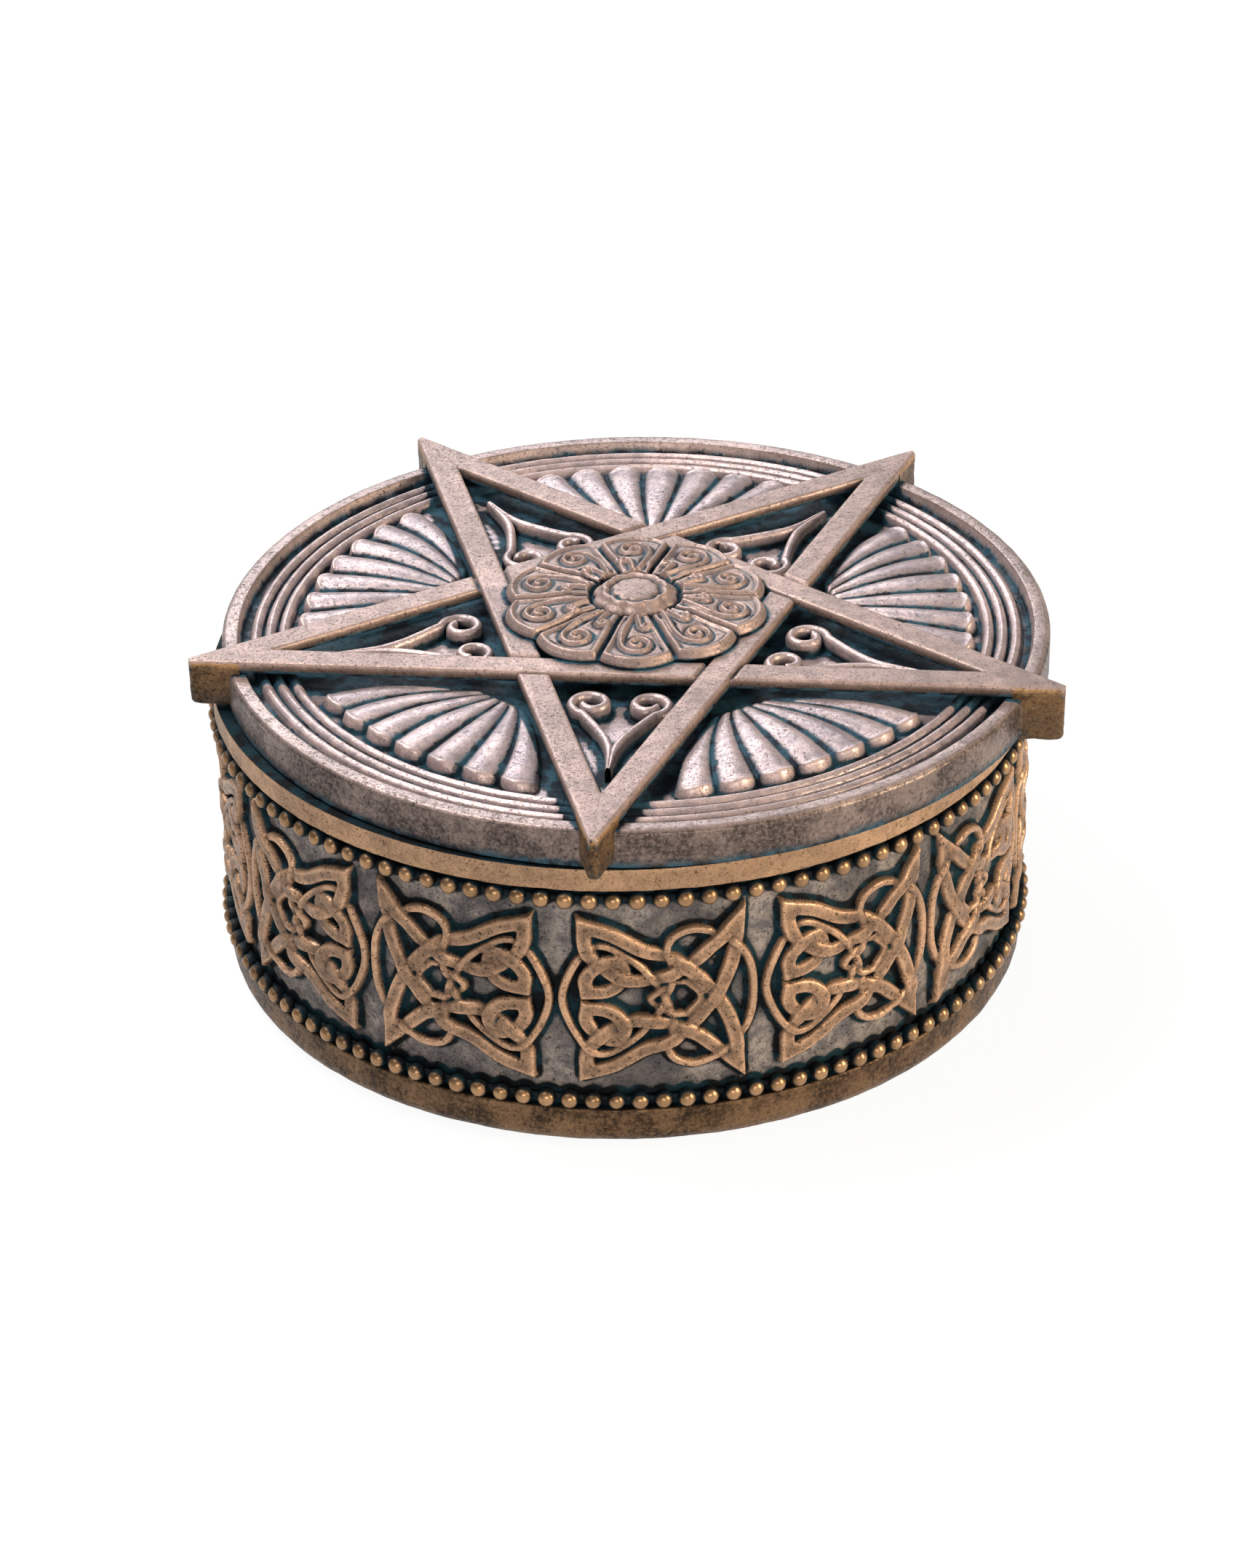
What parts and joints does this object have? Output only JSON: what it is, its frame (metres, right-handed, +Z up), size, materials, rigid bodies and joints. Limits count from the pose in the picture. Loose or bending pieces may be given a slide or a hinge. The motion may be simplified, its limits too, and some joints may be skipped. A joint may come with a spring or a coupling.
{
  "type": "trinket box",
  "caption": "Round lidded trinket box with a woven star standing on its dished lid and a beaded band of interlaced knots round its cup.",
  "frame": {"origin": "middle of the felt's flat underside, on the cup's axis, where the box rests", "axes": "+Z up out of the cup, +X to the right and -Y towards the viewer in the picture"},
  "size_m": [0.1115, 0.1127, 0.0511],
  "materials": {
    "cup_bronze": "cast resin with a dark bronze finish, mottled grey-brown with blue-green in the hollows",
    "relief_bronze": "cast resin, rubbed bronze on the raised ribbons",
    "bead_bronze": "cast resin, burnished golden bronze",
    "lid_bronze": "cast resin, rubbed pinkish bronze over blue-green patina",
    "star_bronze": "cast resin, worn pinkish bronze",
    "felt": "dark green glued felt"
  },
  "bodies": {
    "base": {"base_cup": "cup_bronze", "felt_pad": "felt", "bead_row_lower": "bead_bronze", "bead_row_upper": "bead_bronze", "knot_panel_01": "relief_bronze", "knot_panel_02": "relief_bronze", "knot_panel_03": "relief_bronze", "knot_panel_04": "relief_bronze", "knot_panel_05": "relief_bronze", "knot_panel_06": "relief_bronze", "knot_panel_07": "relief_bronze", "knot_panel_08": "relief_bronze", "knot_panel_09": "relief_bronze", "knot_panel_10": "relief_bronze", "knot_panel_11": "relief_bronze", "knot_panel_12": "relief_bronze", "knot_panel_13": "relief_bronze"},
    "lid": {"lid_plate": "lid_bronze", "star_lattice": "star_bronze", "rosette": "star_bronze", "arm_scroll_01": "lid_bronze", "arm_scroll_02": "lid_bronze", "arm_scroll_03": "lid_bronze", "arm_scroll_04": "lid_bronze", "arm_scroll_05": "lid_bronze", "leaf_fan_01": "lid_bronze", "leaf_fan_02": "lid_bronze", "leaf_fan_03": "lid_bronze", "leaf_fan_04": "lid_bronze", "leaf_fan_05": "lid_bronze"}
  },
  "joints": [
    {"name": "lid_lift", "type": "slide", "parent": "base", "child": "lid", "axis": [0, 0, 1], "range_m": [0, 0.06]}
  ]
}
